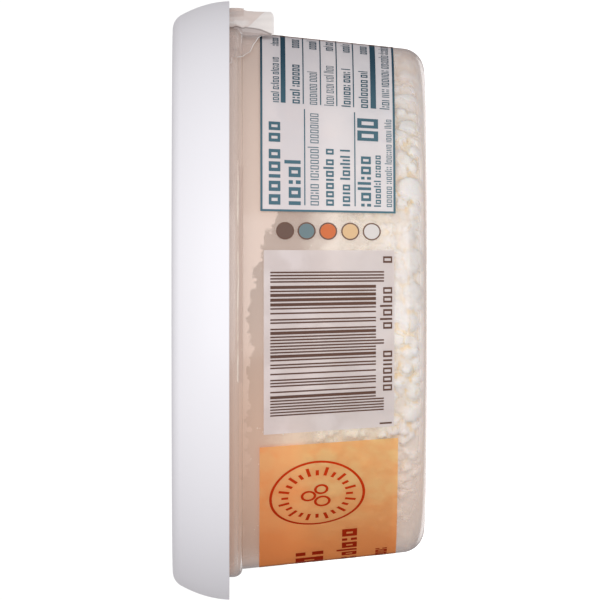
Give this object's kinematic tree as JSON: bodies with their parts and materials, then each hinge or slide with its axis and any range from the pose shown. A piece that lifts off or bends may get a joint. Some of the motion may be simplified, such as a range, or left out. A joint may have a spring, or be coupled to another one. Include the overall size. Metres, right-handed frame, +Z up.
{
  "type": "tub of crumbled goat cheese",
  "caption": "Round tapered clear plastic tub filled with white cheese crumbles, shut by a film seal with a loose pull tab and a white press-on lid.",
  "frame": {"origin": "centre of the tub's base, on the surface it stands on", "axes": "+Z up along the tub's axis, from the base to the lid; -Y points out of the side that the picture shows; the film's pull tab hangs on the +X side"},
  "size_m": [0.105, 0.105, 0.044],
  "materials": {
    "clear_plastic": "clear to slightly milky moulded plastic, glossy, with coloured print on the wall",
    "white_plastic": "satin white moulded plastic",
    "clear_film": "thin clear sealing film, creased",
    "fresh_cheese": "soft moist fresh cheese, off-white, crumbly",
    "wall_print": "thin printed ink on the tub's wall, see-through white and orange grounds with plain marks"
  },
  "bodies": {
    "root": {"tub": "clear_plastic", "lid": "white_plastic", "seal_film": "clear_film", "cheese": "fresh_cheese"}
  },
  "joints": []
}
